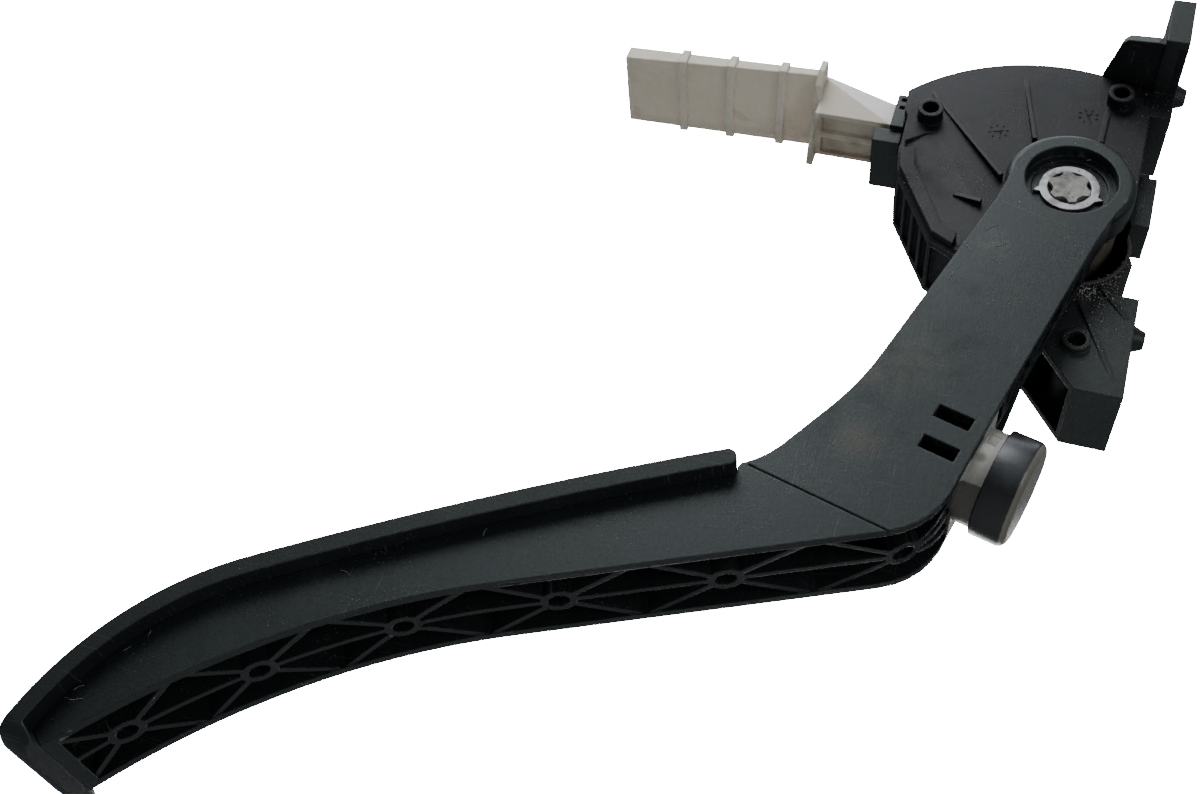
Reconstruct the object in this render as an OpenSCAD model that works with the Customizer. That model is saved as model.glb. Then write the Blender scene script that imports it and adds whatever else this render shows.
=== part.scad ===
// Accelerator pedal module of a car: a truss-ribbed moulded lever on a lobed shaft, a sector-shaped
// housing with its cover and bulkhead flange, the return springs, the angle sensor and the kick-down stop.
// Every piece is drawn in the pedal's side plane: x forward to the bulkhead, y up, z towards the cover side,
// with the pivot at x = y = 0 and the lever's outer face at z = 0. place() turns that into the stored frame:
// X forward, Y away from the cover side, Z up, with the origin between the two upper flange bolts.

/* [Lever] */
// Width of the lever along the pivot axis
lever_w = 30; // [27:0.5:34]
// Width of the upper arm, where it passes over the bracket
arm_w = 14.5; // [13:0.1:14.6]
// Thickness of the lever's side and spine walls
lever_wall = 2.6; // [2:0.1:3.2]
// Thickness of the truss ribs
rib_t = 1.6; // [1.2:0.1:2.2]
// Outside diameter of the truss ring nodes
node_d = 9.6; // [8.5:0.1:11]
// Hole in the truss ring nodes
node_bore = 5.6; // [4.5:0.1:6.2]
// Length of the longest truss bay, next to the kink
bay_len = 44.8; // [42:0.2:46]
// Length that each next truss bay loses
bay_step = 2.6; // [2:0.1:3]
// Hub diameter
hub_d = 36; // [34:0.5:37]
// Hub thickness
hub_t = 9.5; // [8.5:0.1:9.6]
// Diameter of the recess in the hub
recess_d = 25.5; // [23:0.5:27]
// Depth of the recess in the hub
recess_depth = 5; // [4.6:0.1:5.5]
// Rounding of the hub's edge
hub_round = 2; // [1:0.1:2.6]

/* [Foot pad] */
// Length of the pedal's straight run, from the kink to its curved end
pedal_len = 121; // [112:1:126]
// Thickness of the foot pad
pad_t = 4.6; // [3.5:0.1:6]
// How far the pad stands past each side of the lever
pad_over = 5.6; // [4:0.1:8]

/* [Shaft] */
// Diameter of the pivot shaft
shaft_d = 11.9; // [10.5:0.1:12.4]
// Depth of the six flutes that give the shaft its lobes
flute_depth = 1.3; // [0.8:0.1:1.6]
// Outside diameter of the retaining ring
ring_d = 16.8; // [15.5:0.1:18]
// Thickness of the retaining ring
ring_t = 1.1; // [0.8:0.1:1.4]
// Outside diameter of both bushes
bush_d = 16; // [15:0.1:17]

/* [Housing] */
// Radius of the sector's arc
sector_r = 59.4; // [58:0.1:61]
// Wall thickness of the housing
wall = 2.2; // [1.8:0.1:2.6]
// Thickness of the cover plate
cover_t = 2; // [1.6:0.1:2.4]
// Depth from the lever's outer face to the cover's face
cover_z = 10; // [9.9:0.1:10.6]
// Depth from the lever's outer face to the back of the housing
back_z = 34; // [33:0.1:36]
// Depth from the lever's outer face to the bracket's plate
bracket_z = 17; // [16.9:0.1:18]
// Depth from the lever's outer face to the back of the bracket
bracket_back_z = 43; // [40:0.5:46]
// Distance from the pivot axis to the bulkhead face
flange_x = 24.6; // [24:0.1:26]
// Thickness of the bulkhead flange
flange_t = 5.4; // [4.5:0.1:5.8]
// Outside diameter of the screw bosses
boss_d = 7.6; // [7:0.1:8.4]
// Bore of the screw bosses
boss_bore = 4.9; // [4:0.1:5.2]
// Height of the screw bosses above the cover
boss_h = 4; // [2.5:0.1:5]

/* [Flange fixings] */
// Distance between the two upper bolts
bolt_gap = 40; // [36:0.5:44]
// Height of the upper bolts above the pivot
bolt_up = 59.5; // [58:0.5:61]
// Drop of the lower bolt below the pivot
bolt_down = 51.5; // [50:0.5:52.5]
// Bore of the metal sleeves
sleeve_bore = 6.6; // [5.5:0.1:7]
// Outside diameter of the metal sleeves
sleeve_d = 9.4; // [8.6:0.1:10.5]
// Length of the locating pins
pin_len = 3.6; // [2.5:0.1:5]

/* [Return springs] */
// Length of the fitted return springs
spring_len = 31; // [29:0.5:31.5]
// Coil diameter of the outer spring, to the wire's middle
spring_d = 12.4; // [11.5:0.1:13]
// Wire diameter of the outer spring
spring_wire = 1.6; // [1.2:0.1:1.9]
// Coil diameter of the inner spring, to the wire's middle
inner_d = 7.6; // [7:0.1:8.4]
// Wire diameter of the inner spring
inner_wire = 1.1; // [0.8:0.1:1.3]
// Distance from the pivot to the springs' line at the drum's arm
spring_r = 38; // [37:0.5:38.5]

/* [Kick-down] */
// Outside diameter of the kick-down cup
cup_d = 29; // [27:0.5:29.4]
// How far the cup's face stands off the lever
cup_reach = 14.6; // [14.4:0.1:16]
// Travel of the cup
cup_travel = 4.5; // [3:0.1:4.6]
// Wall of the cup
cup_wall = 1.4; // [1:0.1:1.8]

/* [Support arm] */
// Length of the tapered channel
channel_len = 61.8; // [55:0.2:64]
// Wall of the tapered channel
channel_wall = 1.6; // [1.2:0.1:2.2]
// Width of the channel at its flange plate
channel_w_root = 26; // [24:0.2:26.4]
// Width of the channel at its free end
channel_w_tip = 25.6; // [22:0.2:26.4]
// Depth of the channel at its flange plate
channel_h_root = 3.5; // [3:0.1:5]
// Depth of the channel at its free end
channel_h_tip = 5.5; // [4:0.1:8]

/* [Sensor] */
// Depth of the sensor cover behind the housing
sensor_h = 15; // [14:0.5:18]
// Wall of the sensor cover
sensor_wall = 1.8; // [1.4:0.1:2.2]
// Number of contacts in the connector
pin_count = 6; // [4:1:6]

/* [Clearances] */
// Radial gap of a shaft in its bush
run_gap = 0.05; // [0.02:0.01:0.09]
// Gap between moving faces
face_gap = 0.3; // [0.2:0.05:0.5]
// Gap round a piece that is pushed into its seat
seat_gap = 0.05; // [0.02:0.01:0.1]

/* [Hidden] */
$fn = 72;
eps = 0.01;

// Edges of the lever, each a start point, a heading and a list of [length, turn]
spine_start = [-18.9, -12.3];
spine_heading = 252.5;
spine_run = [[64, 0], [22, -14.5], [16, 0], [12, -28]];
pad_start = [-66, -119.4];
pad_heading = 206.8;
pad_run = [[pedal_len, 6.5], [62, 44]];
web_start = [9.9, -20.8];
web_heading = 255.3;
web_run = [[57, 0], [34, 2], [21, -53.3]];
toe_start = [-25.3, -124.6];
toe_heading = 204;
toe_run = [[pedal_len - 26, 0], [114, 28]];
edge_step = 4;

// Places in the side plane
arc_centre = [-8, -4.2];
arm_clear_r = 20.3;
cover_boss_at = [[-44, 25.3], [9.3, 43.6]];
bracket_boss_at = [10, -44];
bracket_boss_h = 1.9;
bracket_top_y = -25;
floor_t = 2.5;
wall_top_z = cover_z + cover_t;
floor_z = back_z - floor_t;
flange_in_x = flange_x - flange_t;
body_right_x = 18.6;
arc_from = 79.5;
ear_foot_y = 39.5;
ear_from = arc_centre + sector_r * unit(arc_from) + [0, 0.1];
ear_a = -12;
ear_wall_y = 50.2;
collar_at = [4.9, -8.5];
collar_r = 15.6;
collar_t = 1.5;
star_z = 3.4;
lip_at = [-41, -8.5];
lip_a = -59;
lip_h = 2.2;
dish_depth = 1.3;
ear_wall_t = 2.6;
ear_top_y = 68.5;
ear_rise = 10;
bolt_mid_z = -22;
ear_back_z = 2 * bolt_mid_z - ear_rise;
lower_bolt_z = -31;
pin_at = [[56, -16], [-33.5, -24]];
pin_root_d = 8;
pin_tip_d = 5;
deep_y = -64;
ramp = 12;
hollow_from = 14;
tip_wall = 3.2;
first_node = -5.3;
pad_wrap = 6.4;
toe_wrap = 4;
pad_corner = 6;
neck_drop = 0.35;
ledge_w = 2.2;
ledge_z = 4.2;

// Points along an edge that is made of straight and curved runs
function unit(a) = [cos(a), sin(a)];
function run_end(p, h, len, turn) =
    turn == 0 ? p + len * unit(h)
              : p + len * 180 / (PI * turn) * [sin(h + turn) - sin(h), cos(h) - cos(h + turn)];
function total(runs, i = 0) = i == len(runs) ? 0 : runs[i][0] + total(runs, i + 1);
function along(p, h, runs, s, i = 0) =
    let(len = runs[i][0], turn = runs[i][1])
    s <= len || i == len(runs) - 1
        ? let(q = run_end(p, h, s, turn * s / len)) [q[0], q[1], h + turn * s / len]
        : along(run_end(p, h, len, turn), h + turn, runs, s - len, i + 1);
function edge(p, h, runs, side = 0, from = 0, short = 0) =
    let(reach = total(runs) - short - from, n = ceil(reach / edge_step))
    [for (i = [0:n])
        let(q = along(p, h, runs, from + reach * i / n))
        [q[0], q[1]] + side * unit(q[2] + 90)];
function flip(list) = [for (i = [len(list) - 1:-1:0]) list[i]];

shaft_r = shaft_d / 2;
flute_r = 2.6;
flute_at = shaft_r - flute_depth + flute_r;

// The springs lie along a chord of the sector and push the arm of the drum
drum_d = 32;
chamber_gap = 1.6;
chamber_r = drum_d / 2 + chamber_gap;
drum_top_z = wall_top_z + 2.6;
drum_bottom_z = floor_z - 1.2;
drum_arm_a = 98.5;
drum_arm_w = 7;
drum_arm_reach = 47;
buffer_at = drum_arm_reach - 13;
spring_z = -(wall_top_z + floor_z) / 2;
spring_a = drum_arm_a + 90;
spring_foot = spring_r * unit(drum_arm_a) + (drum_arm_w / 2) * unit(drum_arm_a + 90);
spring_end = spring_foot + (spring_len + 2 * face_gap) * unit(spring_a);

// The kick-down stop stands on the lever's rear edge
kick_edge = along(web_start, web_heading, web_run, 75.5);
kick_a = kick_edge[2] + 90;
kick_at = [kick_edge[0], kick_edge[1]] + 0.12 * unit(kick_a);
kick_z = -lever_w / 2;
kick_base_w = 26;
kick_deep = 17;
kick_base_h = 1.8;
kick_guide_r = cup_d / 2 - cup_wall - run_gap;
cup_end = 2;
kick_guide_h = cup_reach - cup_end - cup_travel - face_gap;
cup_rim = cup_travel + 2 * face_gap;
slot_at = [[-16.3, -88.2], [-18.2, -98.1]];
slot_size = [9.6, 4.1];
slot_a = -15;

// The sensor sits behind the housing, round the shaft's end
sensor_x = [-30, 15];
sensor_y = [-15, 19];
plug_x = [-13, 9];
plug_len = 16;
plug_z = [37.5, 48];
sensor_screw_at = [[-33.5, 2], [-22, 22.5], [-9, -19]];
sensor_back_z = back_z + sensor_h;

// The support arm starts at the housing's left wall
clip_x = [-59.5, -50.5];
clip_y = [16, 21.6];
clip_z = [14, back_z];
frame_x = -55.2;
frame_d = 3;
shank_y = [24, 33];
shank_z = [14.6, 32.6];
channel_root = -81;
web_root = [[29.5, -34.5], [29.5, -34.5] + channel_w_root * unit(78.9)];
web_tip = [[27.5, -34.5], [27.5, -34.5] + channel_w_tip * unit(85.5)];
rib_x = [-124, -108.3, -91.8];

module place() {
    translate([-flange_x, 0, -bolt_up]) rotate([90, 0, 0]) translate([0, 0, -bolt_mid_z]) children();
}

// A slab of a flat shape between two depths, both counted down from the lever's outer face
module slab(top, bottom) {
    translate([0, 0, -bottom]) linear_extrude(bottom - top) children();
}

// Six lobes with round flutes between them, as on the shaft's end
module lobed(r, gap = 0) {
    difference() {
        circle(r + gap);
        for (a = [0:60:300])
            rotate(a + 15) translate([flute_at + gap, 0]) circle(flute_r);
    }
}

// Side outline of the lever without its hub
module lever_outline() {
    polygon(concat(
        edge(spine_start, spine_heading, spine_run),
        edge(pad_start, pad_heading, pad_run),
        flip(edge(toe_start, toe_heading, toe_run)),
        flip(edge(web_start, web_heading, web_run))));
}

// Hollow of the lever between the spine and the open rear edge, or the part of it that the ribs fill
module lever_hollow(inset, over) {
    polygon(concat(
        edge(spine_start, spine_heading, spine_run, inset, hollow_from),
        edge(pad_start, pad_heading, pad_run, inset, 0, tip_wall),
        flip(edge(toe_start, toe_heading, toe_run, over, 0, tip_wall)),
        flip(edge(web_start, web_heading, web_run, over, hollow_from / 2))));
}

// Depths that the lever fills: thin over the bracket, full width below it
module lever_depths(top, cut) {
    rotate([90, 0, 90]) translate([0, 0, -260])
        linear_extrude(300)
            polygon([
                [30, -top], [30, cut - arm_w], [deep_y, cut - arm_w],
                [deep_y - ramp, cut - lever_w], [-260, cut - lever_w], [-260, -top]]);
}

// One cross of the truss, with local x along the edge and y out of it
module truss_cross(aft, fore, half, deep) {
    for (sx = [-1, 1], sz = [-1, 1]) {
        run = sx > 0 ? fore : aft;
        a = atan2(half, run);
        rotate([0, sx > 0 ? -sz * a : 180 + sz * a, 0])
            translate([0, -deep, -rib_t / 2]) cube([norm([half, run]), deep, rib_t]);
    }
}

module at_edge(p) {
    translate([p[0], p[1], 0]) rotate(p[2]) children();
}

// Crosses with ring nodes behind the foot pad, and plain crosses in the upper arm
module truss(ring_only = false) {
    deep = 40;
    for (i = [0:5]) {
        fore = bay_len - bay_step * i;
        s = first_node + i * bay_len - bay_step * i * (i - 1) / 2;
        at_edge(along(toe_start, toe_heading, toe_run, s)) translate([0, 0, -lever_w / 2]) {
            if (ring_only)
                rotate([90, 0, 0]) cylinder(d = node_bore, h = 3 * deep, center = true);
            else {
                translate([0, 1, 0]) truss_cross((fore + bay_step) / 2, fore / 2, lever_w / 2 - 1, deep);
                rotate([90, 0, 0]) cylinder(d = node_d, h = deep);
            }
        }
    }
    if (!ring_only)
        for (s = [19, 39, 56])
            at_edge(along(web_start, web_heading, web_run, s)) {
                translate([-rib_t / 2, -deep, -arm_w]) cube([rib_t, deep, arm_w]);
                translate([-9, 0, -arm_w / 2]) truss_cross(8.5, 8.5, arm_w / 2 - 1, deep);
            }
}

module pedal_lever() {
    color("#2b2e31") place() union() {
        difference() {
            intersection() {
                slab(0, lever_w) lever_outline();
                lever_depths(0, 0);
            }
            translate([0, 0, -lever_w - 1]) cylinder(r = arm_clear_r, h = lever_w + 1 - hub_t);
            intersection() {
                slab(lever_wall, lever_w - lever_wall) lever_hollow(lever_wall, 6);
                lever_depths(lever_wall, lever_wall);
            }
            hub_recess();
            kick_slots();
            kink_line();
            slab(-1, lever_w + 1) pad_heel(seat_gap);
        }
        lever_ribs();
        difference() {
            union() {
                translate([0, 0, -neck_drop]) hub_disc();
                slab(neck_drop, hub_t) neck();
            }
            hub_recess();
        }
    }
}

module lever_ribs() {
    difference() {
        intersection() {
            slab(lever_wall / 2, lever_w - lever_wall / 2) lever_hollow(lever_wall - 0.5, -0.5);
            lever_depths(0, 0);
            union() {
                truss();
                slab(lever_w / 2 - rib_t / 2, lever_w / 2 + rib_t / 2) translate([-250, -250]) square([300, 180]);
            }
        }
        truss(true);
        kick_pocket();
        kick_slots();
    }
}

module hub_disc() {
    r = hub_d / 2;
    rotate_extrude()
        difference() {
            translate([0, -hub_t + neck_drop]) square([r, hub_t - neck_drop]);
            translate([r - hub_round, -hub_round]) difference() {
                square(hub_round + 1);
                circle(hub_round);
            }
        }
}

// Neck between the hub and the step line across the arm
module neck() {
    hull() {
        circle(d = hub_d - 2 * hub_round);
        polygon([spine_start, web_start, web_start + [-0.4, -1], spine_start + [0.2, -1]]);
    }
}

module hub_recess() {
    translate([0, 0, -ledge_z]) cylinder(d = recess_d, h = ledge_z + 1);
    translate([0, 0, -recess_depth]) cylinder(d = recess_d - 2 * ledge_w, h = recess_depth + 1);
    slab(recess_depth - 1, hub_t + 1) lobed(shaft_r, seat_gap);
}

// Room in the lever's hollow for the kick-down holder
module kick_pocket() {
    at_edge(kick_edge) translate([-kick_base_w / 2, -kick_deep, -lever_w + lever_wall])
        cube([kick_base_w, kick_deep + 5, lever_w - 2 * lever_wall]);
}

module kick_slots() {
    for (p = slot_at)
        slab(-1, lever_wall + 0.5) translate(p) rotate(slot_a) square(slot_size, center = true);
}

// Fine moulded line across the kink
module kink_line() {
    a = [-62.5, -115.3];
    b = [-24.3, -125];
    d = b - a;
    slab(-1, 0.35) translate(a) rotate(atan2(d[1], d[0])) square([norm(d), 0.5]);
}

// Rounded end of the pad towards the kink
module pad_heel(gap) {
    middle = along(pad_start, pad_heading, pad_run, 0);
    translate([middle[0], middle[1]] - (pad_t / 2) * unit(middle[2] + 90)) circle(d = pad_t + 2 * gap);
}

// Corners that the pad loses at its free end
module pad_corners() {
    r = pad_corner;
    at_edge(along(pad_start, pad_heading, pad_run, total(pad_run)))
        for (side = [0, 1])
            translate([pad_wrap - r, 0, side * (-lever_w - 2 * pad_over) + pad_over + (2 * side - 1) * r])
                rotate([90, 0, 0]) difference() {
                    translate([0, side == 0 ? 0 : -2 * r, -20]) cube([2 * r, 2 * r, 40]);
                    cylinder(r = r, h = 60, center = true);
                }
}

module foot_pad() {
    top = edge(pad_start, pad_heading, pad_run, -pad_t);
    under = edge(pad_start, pad_heading, pad_run, -seat_gap);
    end = along(pad_start, pad_heading, pad_run, total(pad_run));
    toe = along(toe_start, toe_heading, toe_run, total(toe_run));
    u = unit(end[2]);
    n = unit(end[2] + 90);
    tip = [end[0], end[1]];
    toe_tip = [toe[0], toe[1]];
    color("#3a3d40") place() difference() {
        slab(-pad_over, lever_w + pad_over) {
            polygon(concat(top, flip(under)));
            polygon([
                tip - pad_t * n - u, tip - pad_t * n + (pad_wrap - 2) * u, tip - (pad_t - 2) * n + pad_wrap * u,
                toe_tip + toe_wrap * u, toe_tip + seat_gap * u, tip + seat_gap * u,
                tip - seat_gap * n, tip - seat_gap * n - u]);
            pad_heel(0);
        }
        pad_corners();
    }
}

module pivot_shaft() {
    color("#8d8d88") place() difference() {
        translate([0, 0, -(back_z + 4)]) cylinder(d = shaft_d, h = back_z + 4 - star_z);
        for (a = [0:60:300]) rotate(a + 15) translate([flute_at, 0, 0]) {
            translate([0, 0, -hub_t]) cylinder(r = flute_r, h = hub_t);
            translate([0, 0, -drum_bottom_z - 1]) cylinder(r = flute_r, h = drum_bottom_z - drum_top_z + 2);
        }
    }
}

module retaining_ring() {
    ear = 2.3;
    color("silver") place() slab(recess_depth - ring_t, recess_depth) difference() {
        union() {
            circle(d = ring_d);
            for (a = [-18, 196])
                rotate(a) translate([ring_d / 2 - 0.4, 0]) polygon([[0, -1.6], [ear, 0.2], [0, 0.9]]);
        }
        circle(shaft_r + seat_gap);
    }
}

module front_bush() {
    color("#c9c4b4") place() difference() {
        union() {
            slab(cover_z, drum_top_z - face_gap) circle(d = bush_d - 2 * seat_gap);
            slab(wall_top_z + 2, drum_top_z - face_gap) circle(d = bush_d + 4);
        }
        slab(0, back_z) circle(shaft_r + run_gap);
    }
}

module rear_bush() {
    color("#c9c4b4") place() difference() {
        union() {
            slab(drum_bottom_z + face_gap, floor_z) circle(d = bush_d + 4);
            slab(floor_z, back_z) circle(d = bush_d - 2 * seat_gap);
        }
        slab(0, back_z + 1) circle(shaft_r + run_gap);
    }
}

module spring_drum() {
    color("#4a443c") place() difference() {
        union() {
            slab(drum_top_z, drum_bottom_z) circle(d = drum_d);
            slab(-spring_z - 6.8, -spring_z + 6.8) rotate(drum_arm_a)
                translate([0, -drum_arm_w / 2]) square([drum_arm_reach, drum_arm_w]);
            translate([spring_foot[0], spring_foot[1], spring_z]) rotate(spring_a) translate([-2, 0, 0])
                rotate([0, 90, 0]) cylinder(d = inner_d - inner_wire - 0.8, h = 5);
        }
        slab(0, back_z) lobed(shaft_r, seat_gap);
    }
}

// Curved shoe that rubs on the drum and gives the pedal its dry feel
module friction_shoe() {
    color("#6b5f4e") place() slab(drum_top_z + 2, drum_bottom_z - 2) intersection() {
        difference() {
            circle(drum_d / 2 + 3.4);
            circle(drum_d / 2 + face_gap);
        }
        rotate(150) polygon([[0, 0], [40, -14], [40, 14]]);
    }
}

module coil(len, d, wire, turns) {
    per = 14;
    sides = 6;
    steps = turns * per;
    lift = len - wire;
    points = [for (i = [0:steps], k = [0:sides - 1])
        let(a = 360 * i / per, b = 360 * k / sides, r = d / 2 + wire / 2 * cos(b))
        [wire / 2 + lift * i / steps + wire / 2 * sin(b), r * cos(a), r * sin(a)]];
    skin = [for (i = [0:steps - 1], k = [0:sides - 1])
        let(a = i * sides + k, b = i * sides + (k + 1) % sides)
        [a, b, b + sides, a + sides]];
    polyhedron(points, concat([[for (k = [sides - 1:-1:0]) k]], skin, [[for (k = [0:sides - 1]) steps * sides + k]]));
}

module at_spring() {
    start = spring_foot + face_gap * unit(spring_a);
    place() translate([start[0], start[1], spring_z]) rotate(spring_a) children();
}

module return_spring_outer() {
    color("#9a9da0") at_spring() coil(spring_len, spring_d, spring_wire, 8);
}

module return_spring_inner() {
    color("#8a8d90") at_spring() coil(spring_len, inner_d, inner_wire, 11);
}

module idle_buffer() {
    color("#1f1f1f") place() slab(-spring_z - 5, -spring_z + 5) rotate(drum_arm_a)
        translate([buffer_at, -drum_arm_w / 2 - 3 - face_gap]) square([9, 3]);
}

// Outline of the housing's body: the sector, the sloped lower left side and the straight right side
module body_outline() {
    arc_n = 28;
    polygon(concat(
        [for (i = [0:arc_n]) arc_centre + sector_r * unit(arc_from + (138.5 - arc_from) * i / arc_n)],
        [[-50.2, 9], [-48.7, 1.5], [-34.8, -21.7], [-27.6, -25.3]],
        [for (a = [-115:15:-25]) arc_clear(a)],
        [[body_right_x, -6], [body_right_x, ear_from[1] + (body_right_x - ear_from[0]) * tan(ear_a)]]));
}

function arc_clear(a) = [0, -3] + 23.5 * unit(a);

// Zone that the deep part of the arm sweeps, which the cover keeps clear of
module arm_zone() {
    difference() {
        polygon([[-21, -11], [-25.5, -26], [-30, -60], [60, -60], [60, -6], [0, -6]]);
        circle(r = arm_clear_r - 1);
    }
}

module cover_outline() {
    difference() {
        body_outline();
        arm_zone();
    }
}

module bracket_outline() {
    polygon([
        [body_right_x, -8], [body_right_x, -22.7], [flange_in_x, -24.8], [flange_x, -24.8],
        [flange_x, -59.5], [11.7, -59.5], [2.7, -48.5], [-7, -37], [-9, -22], [0, -10]]);
}

module bracket_hollow() {
    polygon([
        [4, -27], [flange_x - 3, -27], [flange_x - 3, -59.5 + wall], [13.2, -59.5 + wall],
        [3.5, -60], [-12, -44], [-9, -34]]);
}

// Sector for the springs and round chamber for the drum
module body_hollow() {
    offset(delta = -wall) cover_outline();
    circle(r = chamber_r);
}

// Gap beside the hub through which the drum shows
module drum_window() {
    difference() {
        translate(collar_at) circle(r = collar_r - collar_t);
        circle(r = drum_d / 2 + face_gap);
    }
}

// Round wall that stands round the gap
module collar() {
    intersection() {
        translate(collar_at) circle(r = collar_r);
        translate([2, -30]) square([30, 40]);
    }
}

module spring_seat_post() {
    translate([spring_end[0], spring_end[1], spring_z]) rotate(spring_a) {
        translate([0, -7, -8.5]) cube([7, 14, 17]);
        rotate([0, -90, 0]) cylinder(d = inner_d - inner_wire - 0.8, h = 3);
    }
}

module shoe_seat() {
    slab(wall_top_z + 1, floor_z + eps) difference() {
        intersection() {
            circle(drum_d / 2 + 6);
            rotate(150) polygon([[0, 0], [40, -17], [40, 17]]);
        }
        circle(drum_d / 2 + 3.4 + seat_gap);
    }
}

module gusset(from, to, height, base_z) {
    d = to - from;
    translate([from[0], from[1], -base_z]) rotate(atan2(d[1], d[0]))
        rotate([90, 0, 0]) linear_extrude(1.4, center = true)
            polygon([[0, -1], [0, height], [norm(d), 0], [norm(d), -1]]);
}

module ear() {
    // Upper flange plate with its two bolt places
    translate([flange_in_x - 1.2, ear_foot_y, -back_z])
        cube([flange_t + 1.2, ear_wall_y - ear_foot_y + 1, back_z - wall_top_z]);
    translate([body_right_x + seat_gap, ear_foot_y, -wall_top_z - eps])
        cube([flange_x - body_right_x - seat_gap, ear_wall_y - ear_foot_y + 1, wall_top_z - cover_z + eps]);
    translate([flange_in_x - 1.2, ear_wall_y, ear_back_z])
        cube([flange_t + 1.2, ear_top_y - ear_wall_y, ear_rise - ear_back_z]);
    // Stiffening wall that runs out over the cover
    intersection() {
        translate([ear_from[0], ear_from[1], 0]) rotate(ear_a) translate([0, ear_wall_t, 0]) rotate([90, 0, 0])
            linear_extrude(ear_wall_t)
                polygon([
                    [0, -back_z], [0, -cover_z], [3.4, 3.6], [5, 5.6], [13.5, 7.6], [30, 7.6], [30, -back_z]]);
        translate([-20, 0, -back_z]) cube([flange_x + 20, 100, 100]);
    }
}

// Footprint of the stiffening wall
module ear_foot(gap) {
    translate(ear_from) rotate(ear_a) translate([0, -gap]) square([30, 12]);
}

module flange_bore(y, z, d) {
    translate([0, y, z]) rotate([0, 90, 0]) cylinder(d = d, h = 60);
}

module flange_bores(d) {
    for (s = [-1, 1]) flange_bore(bolt_up, bolt_mid_z + s * bolt_gap / 2, d);
    flange_bore(-bolt_down, lower_bolt_z, d);
}

module locating_pins() {
    for (p = pin_at)
        translate([flange_x - eps, p[0], p[1]]) rotate([0, 90, 0])
            cylinder(d1 = pin_root_d, d2 = pin_tip_d, h = pin_len);
}

// Block and frame on the left wall that hold the support arm's shank
module support_clip() {
    translate([clip_x[0], clip_y[0], -clip_z[1]])
        cube([clip_x[1] - clip_x[0] + 2, clip_y[1] - clip_y[0], clip_z[1] - clip_z[0]]);
    difference() {
        translate([frame_x, clip_y[1] - eps, -clip_z[1] - 1]) cube([4, shank_y[1] - clip_y[1] + 2.2, 22.6]);
        translate([frame_x - 1, shank_y[0] - face_gap, -shank_z[1] - face_gap])
            cube([frame_d + 1, shank_y[1] - shank_y[0] + 2 * face_gap, shank_z[1] - shank_z[0] + 2 * face_gap]);
    }
}

module housing() {
    color("#303236") place() difference() {
        union() {
            difference() {
                union() {
                    slab(wall_top_z, back_z) cover_outline();
                    slab(bracket_z, back_z) body_outline();
                    slab(bracket_z, back_z) bracket_outline();
                    slab(back_z - 1, bracket_back_z) intersection() {
                        bracket_outline();
                        translate([-20, -70]) square([60, 70 + bracket_top_y]);
                    }
                    slab(bracket_z, back_z) collar();
                }
                slab(cover_z, floor_z) body_hollow();
                slab(cover_z, floor_z) drum_window();
                slab(bracket_z + 2.5, bracket_back_z - 2.5) bracket_hollow();
            }
            intersection() {
                slab(wall_top_z, back_z) body_outline();
                union() {
                    spring_seat_post();
                    shoe_seat();
                    slab(wall_top_z, floor_z + eps) rotate(drum_arm_a)
                        translate([buffer_at, -drum_arm_w / 2 - 6 - 2 * face_gap]) square([9, 3]);
                }
            }
            ear();
            slab(20, back_z) translate([body_right_x - 1, 5]) square([flange_x - body_right_x + 1, 19.4]);
            locating_pins();
            support_clip();
            slab(bracket_z - bracket_boss_h, bracket_back_z - 1) translate(bracket_boss_at) circle(d = boss_d);
            for (p = cover_boss_at) slab(wall_top_z, back_z) translate(p) circle(d = boss_d);
            for (i = [0:1]) slab(22, back_z) translate(sensor_screw_at[i]) circle(d = boss_d);
            translate([flange_in_x - 1.2, -bolt_down, lower_bolt_z]) rotate([0, 90, 0])
                cylinder(d = sleeve_d + 4, h = flange_t + 1.2);
            gusset([9.1, -29.7], [21.6, -54.6], 0.9, bracket_z);
            gusset([13.9, -23.3], [22.6, -32.8], 0.9, bracket_z);
        }
        wall_pockets();
        slab(wall_top_z - 1, 19) intersection() {
            side_notch();
            translate([frame_x + 4 + eps, 0]) square([10, 40]);
        }
        for (y = [29, 32.4]) translate([frame_x + 1.4, y, -clip_z[1] + 19.6]) cube([1.4, 1.4, 4]);
        flange_bores(sleeve_d);
        slab(0, back_z + 1) circle(d = bush_d);
        for (p = cover_boss_at) slab(0, back_z + 1) translate(p) circle(d = boss_bore + 0.4);
        for (p = sensor_screw_at) slab(24, back_z + 1) translate(p) circle(d = 3);
        slab(0, bracket_back_z + 1) translate(bracket_boss_at) circle(d = boss_bore);
        slab(bracket_back_z - 1, bracket_back_z + 1) translate(bracket_boss_at) circle(d = 7.6);
    }
}

module housing_cover() {
    color("#35353a") place() difference() {
        union() {
            difference() {
                slab(cover_z, wall_top_z) difference() {
                    cover_outline();
                    ear_foot(seat_gap);
                    drum_window();
                    side_notch();
                    translate([flange_in_x - 1.2 - seat_gap, ear_wall_y - seat_gap]) square(20);
                }
                cover_dish();
            }
            slab(cover_z - lip_h, wall_top_z) lip_outline();
            for (p = cover_boss_at) slab(cover_z - boss_h, cover_z + eps) translate(p) circle(d = boss_d);
            slab(cover_z, wall_top_z + 2) circle(d = bush_d + 5);
            gusset([-19.3, 4.3], [-45.4, 36.4], 2.4, cover_z);
            gusset([-12.3, 21.7], [-18.8, 47.3], 1.6, cover_z);
            gusset([6.2, 24.7], [6.8, 41.9], 1.2, cover_z);
            gusset([-23.1, -6.7], [-31.1, -3.8], 2.2, cover_z);
        }
        slab(0, back_z) circle(d = bush_d);
        for (p = cover_boss_at) slab(0, back_z + 1) translate(p) circle(d = boss_bore);
    }
}

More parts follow.
